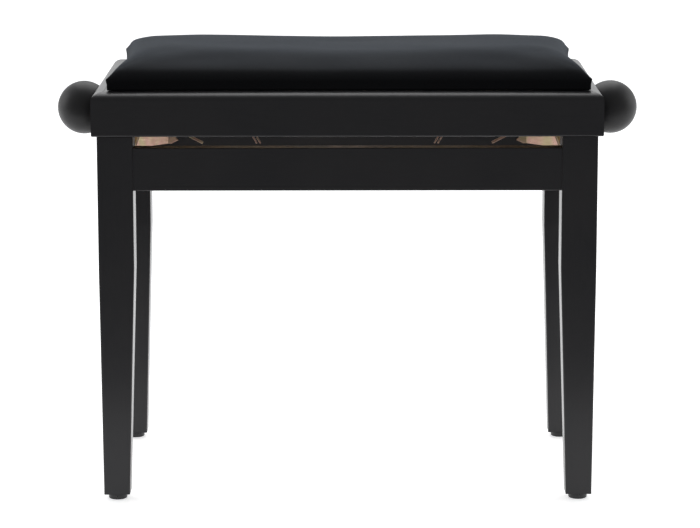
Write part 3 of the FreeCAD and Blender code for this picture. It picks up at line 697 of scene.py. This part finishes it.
def make_cushion():
    half_x, half_y, base = cushion_sizes()
    start = CUSHION_START
    verts, faces, grid = cushion_mesh(half_x - start, half_y - start, base)
    cushion = mesh_piece("velvet_cushion", verts, faces, None, VELVET)
    face_outward(cushion)
    top = base + BAND_HEIGHT
    pinned = {}
    for i, point in enumerate(verts):
        if point.z < top - 0.5 * BAND_HEIGHT:
            pinned[i] = 1.0
        elif point.z < top + 1 * MM:
            pinned[i] = HELD_BAND
    steps = [new - rest for new, rest in zip(swell(cushion, pinned), verts)]
    for vertex, rest, step in zip(cushion.data.vertices, verts, eased(steps, grid)):
        vertex.co = rest + step
    for vertex in cushion.data.vertices:
        point = vertex.co
        if point.z > base + 2 * MM:
            ripple = noise(Vector([at * scale for at, scale in zip(point, RIPPLE_SCALE)]))
            point = point + Vector((0, 0, RIPPLE * ripple))
            vertex.co = point + corner_detail(point, half_x, half_y, base)
    smooth = cushion.modifiers.new("subdivision", "SUBSURF")
    smooth.levels = 1
    smooth.render_levels = 1
    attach(cushion, "seat")
    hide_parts("cushion_cover", "cushion_foam")


def make_board():
    """Plywood board inside the cover: its underside shows within the hem."""
    low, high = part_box("cushion_board")
    x, y = high.x - BOARD_INSET, high.y - BOARD_INSET
    outline = ((-x, -y), (x, -y), (x, y), (-x, y))
    verts = [Vector((*at, z)) for z in (low.z, low.z + BOARD_THICK) for at in outline]
    faces = [(3, 2, 1, 0), (4, 5, 6, 7), (0, 1, 5, 4), (1, 2, 6, 5), (2, 3, 7, 6), (3, 0, 4, 7)]
    board = mesh_piece("plywood_board", verts, faces, "seat", PLYWOOD, smooth=False)
    bevel(board, 0.8 * MM)
    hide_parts("cushion_board")


def make_staples():
    """Wire staples that hold the hem to the board."""
    half_x, half_y, base = cushion_sizes()
    inset = HEM_WIDTH - 6 * MM
    profile = [
        (0, 0.6 * STAPLE_WIRE, None),
        (STAPLE_END, STAPLE_WIRE, None),
        (STAPLE_WIDTH - STAPLE_END, STAPLE_WIRE, None),
        (STAPLE_WIDTH, 0.6 * STAPLE_WIRE, None),
    ]
    parts = []
    for half, other, along in (
        (half_x - inset, half_y - inset, Vector((1, 0, 0))),
        (half_y - inset, half_x - inset, Vector((0, 1, 0))),
    ):
        across = Vector((along.y, along.x, 0))
        reach = half - STAPLE_CLEAR
        count = int(2 * reach / STAPLE_PITCH)
        for side in (-1, 1):
            for i in range(count + 1):
                middle = (2 * i / count - 1) * reach
                tilt = STAPLE_TILT * math.sin(7.3 * i + side)
                way = (along + across * tilt).normalized()
                centre = along * middle + across * (side * other)
                centre.z = base - 0.05 * MM
                parts.append(lathe(centre - way * STAPLE_WIDTH / 2, way, profile, 8))
    staples = mesh_piece("hem_staples", *merged(parts), "seat", STAPLE_STEEL)


# ==== fasteners and threads ===================================================================
def thread_rings(start, axis, radius, depth, pitch, length, hand, count=36):
    """Rings of a screw thread with rounded crests, along axis from start."""
    side, up = basis(axis)
    axis = Vector(axis).normalized()
    rows = int(length / pitch * RINGS_PER_TURN)
    rings = []
    for i in range(rows + 1):
        along = length * i / rows
        fade = min(1.0, along / pitch, (length - along) / pitch)
        ring = []
        for j in range(count):
            turn = 2 * math.pi * j / count
            phase = (along / pitch - hand * j / count) % 1.0
            groove = abs(2 * phase - 1)
            r = radius - depth * fade * min(1.0, max(0.0, 1.25 * groove - 0.1))
            x, y = r * math.cos(turn), r * math.sin(turn)
            ring.append(start + axis * along + side * x + up * y)
        rings.append(ring)
    return rings


def make_spindle():
    """Spindle with a left-hand and a right-hand thread either side of a plain middle."""
    low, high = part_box("spindle")
    radius = (high.z - low.z) / 2
    centre_z = (high.z + low.z) / 2
    axis = Vector((1, 0, 0))

    def plain(x0, x1):
        chamfer = 0.6 * MM
        start = Vector((x0, 0, centre_z))
        length = x1 - x0
        profile = [
            (0, radius - chamfer, None),
            (chamfer, radius, None),
            (length - chamfer, radius, None),
            (length, radius - chamfer, None),
        ]
        return lathe(start, axis, profile, 36)

    def threaded(x0, x1, hand):
        start = Vector((x0, 0, centre_z))
        return rings_to_mesh(
            thread_rings(start, axis, radius, SPINDLE_THREAD_DEPTH, SPINDLE_LEAD, x1 - x0, hand)
        )

    parts = [
        plain(low.x, -SPINDLE_THREAD_END),
        threaded(-SPINDLE_THREAD_END, -SPINDLE_PLAIN_HALF, -1),
        plain(-SPINDLE_PLAIN_HALF, SPINDLE_PLAIN_HALF),
        threaded(SPINDLE_PLAIN_HALF, SPINDLE_THREAD_END, 1),
        plain(SPINDLE_THREAD_END, high.x),
    ]
    spindle = mesh_piece("threaded_spindle", *merged(parts), "spindle", SPINDLE_STEEL)
    face_outward(spindle)
    sharpen(spindle, 50)
    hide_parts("spindle")


def pan_head(seat, way, radius, height, shank, length):
    """(verts, faces) of a pan-head screw with a cross recess; way points out of the wood."""
    recess_reach, recess_half = 0.62 * radius, 0.17 * radius

    def cross(r, turn):
        x, y = abs(r * math.cos(turn)), abs(r * math.sin(turn))
        if min(x, y) < recess_half and max(x, y) < recess_reach:
            return -0.62 * height * (1 - 0.5 * max(x, y) / recess_reach)
        return 0.0

    profile = [(-length, 0.15 * shank, None), (-length + 2 * shank, shank, None), (0, shank, None)]
    profile += [(0, 0.97 * radius, None), (0.15 * height, radius, None)]
    for share in (0.98, 0.93, 0.85, 0.75, 0.66, 0.6, 0.5, 0.4, 0.3, 0.2, 0.12, 0.04):
        crown = height * (0.35 + 0.65 * (1 - share**3.2))
        profile.append((crown, share * radius, cross))
    return lathe(seat, way, profile, 48)


def make_screws():
    for node in ("brace_screws", "base_bracket_screws", "seat_bracket_screws", "cushion_screws"):
        parts = []
        for points in islands(node):
            head, tip, radius = rod_axis(points)
            way = (head - tip).normalized()
            height = 0.55 * radius
            seat = head - way * height
            parts.append(pan_head(seat, way, radius, height, radius / 2, (seat - tip).length))
        body = "seat" if node.startswith(("seat", "cushion")) else "base"
        screws = mesh_piece("cross_" + node, *merged(parts), body, FASTENER_ZINC)
        face_outward(screws)
        sharpen(screws, 32)
        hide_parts(node)


def make_leg_bolts():
    """Hanger bolts threaded along their tails, and chamfered hexagon nuts."""
    parts = []
    for points in islands("leg_bolts"):
        end, other, radius = rod_axis(points)
        centre = Vector((0, 0, end.z))
        tail, tip = sorted((end, other), key=lambda place: (place - centre).length)
        way = (tip - tail).normalized()
        length = (tip - tail).length
        rings = thread_rings(tail, way, radius, BOLT_THREAD_DEPTH, BOLT_PITCH, length, 1, 28)
        parts.append(rings_to_mesh(rings))
    bolts = mesh_piece("threaded_leg_bolts", *merged(parts), "base", FASTENER_ZINC)
    face_outward(bolts)
    sharpen(bolts, 50)
    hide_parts("leg_bolts")

    nuts = []
    for points in islands("leg_bolt_nuts"):
        middle = Vector((points.min(0) + points.max(0)) / 2)
        out = Vector((math.copysign(1, middle.x), math.copysign(1, middle.y), 0)).normalized()
        along = (points - np.array(middle)) @ np.array(out)
        height = float(along.max() - along.min())
        rise = points[:, 2].max() - points[:, 2].min()
        nuts.append(hex_nut(middle - out * height / 2, out, height, rise))
    piece = mesh_piece("hexagon_leg_nuts", *merged(nuts), "base", FASTENER_ZINC)
    face_outward(piece)
    sharpen(piece, 25)
    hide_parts("leg_bolt_nuts")


def hex_nut(start, axis, height, rise):
    """(verts, faces) of a hexagon nut, chamfered at both faces. rise is its size along +Z."""
    corner_up = rise / 2
    flat = corner_up * math.cos(math.pi / 6)
    seat = 0.95 * flat

    def hexagon(turn):
        return flat / math.cos((turn + math.pi / 6) % (math.pi / 3) - math.pi / 6)

    def chamfer(turn):
        return (hexagon(turn) - seat) * math.tan(math.radians(30))

    return lathe(
        start,
        axis,
        [
            (0, 0.5 * flat, None),
            (0, seat, None),
            (chamfer, hexagon, None),
            (lambda turn: height - chamfer(turn), hexagon, None),
            (height, seat, None),
            (height, 0.5 * flat, None),
        ],
        48,
    )


# ==== small parts =============================================================================
def make_rest_pads():
    """Thin felt pads between the leg tops and the seat rails."""
    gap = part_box("seat_rail_front")[0].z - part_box("leg_front_left")[1].z
    parts = []
    for end in ("front", "rear"):
        for side, _ in LEFT_RIGHT:
            low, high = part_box(f"leg_{end}_{side}")
            middle = Vector(((low.x + high.x) / 2, (low.y + high.y) / 2, high.z))
            thick = gap - PAD_PLAY
            profile = [
                (0, PAD_RADIUS, None),
                (0.7 * thick, PAD_RADIUS, None),
                (thick, 0.96 * PAD_RADIUS, None),
            ]
            parts.append(lathe(middle, (0, 0, 1), profile, 40))
    pads = mesh_piece("leg_top_pads", *merged(parts), "base", FELT)


def strap(points, span, thick):
    """(verts, faces) of a bent strip; points are (x, z) and span is its two ends' Y."""
    ways = [Vector((b[0] - a[0], b[1] - a[1])).normalized() for a, b in zip(points, points[1:])]
    sides = []
    for i, (x, z) in enumerate(points):
        way = (ways[max(i - 1, 0)] + ways[min(i, len(ways) - 1)]).normalized()
        off_x, off_z = -way.y * thick / 2, way.x * thick / 2
        sides.append(((x + off_x, z + off_z), (x - off_x, z - off_z)))
    outline = [above for above, _ in sides] + [below for _, below in reversed(sides)]
    rings = [[Vector((x, y, z)) for x, z in outline] for y in span]
    return rings_to_mesh(rings)


def make_arm_tabs():
    """Slanted tabs on each arm: a pair near its middle and a longer one nearer its pivot."""
    for side, sx in LEFT_RIGHT:
        low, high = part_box(f"arm_front_{side}")
        outer = -low.y - TAB_INSET
        inner = -low.y - ARM_THICK + TAB_INSET
        parts = []
        for x_out, drop, x_in, fall, thick in ARM_TABS:
            line = [(sx * x_out, high.z - drop), (sx * x_in, high.z - drop - fall)]
            for span in ((-outer, -inner), (inner, outer)):
                parts.append(strap(line, span, thick))
        tabs = mesh_piece("arm_tabs_" + side, *merged(parts), "arms_" + side, ZINC, smooth=False)
        face_outward(tabs)
        bevel(tabs, 0.3 * MM)


# ==== stage ===================================================================================
def studio_world():
    """White all round for the camera; the light itself comes mostly from above and behind."""
    world = bpy.data.worlds.new("studio")
    world.use_nodes = True
    tree = world.node_tree
    link = tree.links.new
    lamp = tree.nodes["Background"]
    way = tree.nodes.new("ShaderNodeSeparateXYZ")
    link(tree.nodes.new("ShaderNodeTexCoord").outputs["Generated"], way.inputs[0])
    fade = tree.nodes.new("ShaderNodeMapRange")
    fade.interpolation_type = "SMOOTHSTEP"
    span = {"From Min": -0.5, "From Max": 0.6, "To Min": FRONT_LIGHT, "To Max": 1.0}
    for key, value in span.items():
        fade.inputs[key].default_value = value
    link(way.outputs["Y"], fade.inputs["Value"])
    seen = tree.nodes.new("ShaderNodeLightPath").outputs["Is Camera Ray"]
    brightest = tree.nodes.new("ShaderNodeMath")
    brightest.operation = "MAXIMUM"
    link(seen, brightest.inputs[0])
    link(fade.outputs["Result"], brightest.inputs[1])
    link(brightest.outputs["Value"], lamp.inputs["Strength"])
    lamp.inputs["Color"].default_value = (0.985, 0.992, 1.0, 1)
    bpy.context.scene.world = world


def make_floor():
    corners = [
        Vector((-FLOOR_HALF, FLOOR_NEAR, 0)),
        Vector((FLOOR_HALF, FLOOR_NEAR, 0)),
        Vector((FLOOR_HALF, FLOOR_FAR, 0)),
        Vector((-FLOOR_HALF, FLOOR_FAR, 0)),
    ]
    floor = mesh_piece("floor", corners, [(0, 1, 2, 3)], None, floor_paper())


def make_lights():
    for name, place, aim, size, power in (
        ("top_softbox", (0.0, 1.1, 2.4), (0, 0, 0.4), 2.2, 24),
        ("left_softbox", (-2.6, 0.5, 1.2), (0, 0, 0.35), 1.6, 12),
        ("right_softbox", (2.6, 0.5, 1.2), (0, 0, 0.35), 1.6, 10),
    ):
        lamp = bpy.data.lights.new(name, "AREA")
        lamp.energy = power
        lamp.shape = "SQUARE"
        lamp.size = size
        light = bpy.data.objects.new(name, lamp)
        light.location = place
        light.rotation_euler = (Vector(aim) - Vector(place)).to_track_quat("-Z", "Y").to_euler()
        bpy.context.scene.collection.objects.link(light)


def make_camera():
    lens = bpy.data.cameras.new("camera")
    lens.sensor_width = 36.0
    lens.lens = CAMERA_LENS
    lens.clip_start = 0.05
    lens.clip_end = 60
    camera = bpy.data.objects.new("camera", lens)
    camera.location = CAMERA_PLACE
    turn = Matrix.Rotation(CAMERA_TURN, 3, "Z")
    turn = turn @ Matrix.Rotation(math.pi / 2 - CAMERA_PITCH, 3, "X")
    camera.rotation_euler = (turn @ Matrix.Rotation(CAMERA_ROLL, 3, "Z")).to_euler()
    bpy.context.scene.collection.objects.link(camera)
    bpy.context.scene.camera = camera
    bpy.context.scene.view_settings.view_transform = "Standard"


# ==== build ===================================================================================
dress_cad()
make_cushion()
make_board()
make_staples()
make_spindle()
make_screws()
make_leg_bolts()
make_rest_pads()
make_arm_tabs()
studio_world()
make_floor()
make_lights()
make_camera()
